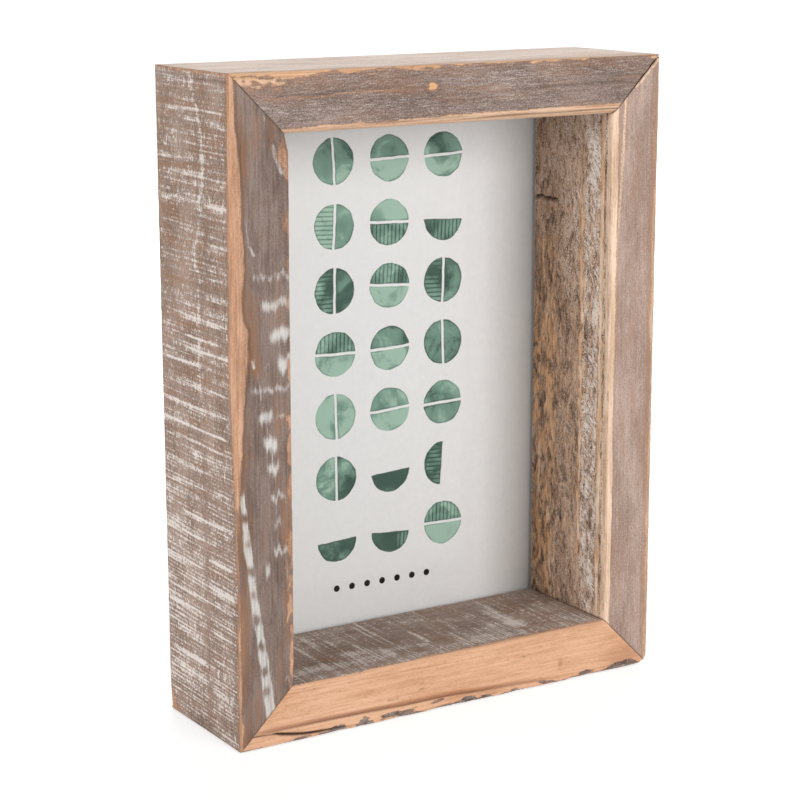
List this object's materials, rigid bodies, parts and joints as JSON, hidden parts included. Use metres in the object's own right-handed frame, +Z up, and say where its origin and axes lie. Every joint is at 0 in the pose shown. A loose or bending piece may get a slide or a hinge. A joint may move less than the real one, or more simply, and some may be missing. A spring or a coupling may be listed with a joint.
{
  "type": "picture frame",
  "caption": "Deep wooden box picture frame with mitred boards, recessed glass and print, and a backing held by turn buttons.",
  "frame": {"origin": "middle of the bottom board's underside, half way between the front and back faces", "axes": "+Z up along the frame's height, +Y from the front face to the back, +X to the right as seen from the front"},
  "size_m": [0.159, 0.0519, 0.209],
  "materials": {
    "weathered_wood": "weathered grey-brown paint worn to bare pine at the arrises",
    "bare_pine": "bare orange pine with dull worn edges",
    "glass": "clear and polished",
    "print_paper": null,
    "fibreboard": "smooth brown fibreboard",
    "zinc_steel": "satin zinc plating"
  },
  "bodies": {
    "frame": {"board_bottom": "bare_pine", "board_top": "weathered_wood", "board_left": "weathered_wood", "board_right": "weathered_wood", "v_nail_bottom_left_outer": "zinc_steel", "v_nail_bottom_left_inner": "zinc_steel", "v_nail_bottom_right_outer": "zinc_steel", "v_nail_bottom_right_inner": "zinc_steel", "v_nail_top_left_outer": "zinc_steel", "v_nail_top_left_inner": "zinc_steel", "v_nail_top_right_outer": "zinc_steel", "v_nail_top_right_inner": "zinc_steel", "glass_pane": "glass", "print_sheet": "print_paper", "backing_board": "fibreboard", "button_screw_left_lower": "zinc_steel", "button_screw_left_upper": "zinc_steel", "button_screw_right_lower": "zinc_steel", "button_screw_right_upper": "zinc_steel", "sawtooth_hanger": "zinc_steel", "hanger_pin_left": "zinc_steel", "hanger_pin_right": "zinc_steel"},
    "button_left_lower": {"turn_button_left_lower": "zinc_steel"},
    "button_left_upper": {"turn_button_left_upper": "zinc_steel"},
    "button_right_lower": {"turn_button_right_lower": "zinc_steel"},
    "button_right_upper": {"turn_button_right_upper": "zinc_steel"}
  },
  "joints": [
    {"name": "turn_left_lower", "type": "hinge", "parent": "frame", "child": "button_left_lower", "pos_m": [-0.0725, 0.0251, 0.0525], "axis": [0, 1, 0], "continuous": true},
    {"name": "turn_left_upper", "type": "hinge", "parent": "frame", "child": "button_left_upper", "pos_m": [-0.0725, 0.0251, 0.1565], "axis": [0, 1, 0], "continuous": true},
    {"name": "turn_right_lower", "type": "hinge", "parent": "frame", "child": "button_right_lower", "pos_m": [0.0725, 0.0251, 0.0525], "axis": [0, 1, 0], "continuous": true},
    {"name": "turn_right_upper", "type": "hinge", "parent": "frame", "child": "button_right_upper", "pos_m": [0.0725, 0.0251, 0.1565], "axis": [0, 1, 0], "continuous": true}
  ]
}
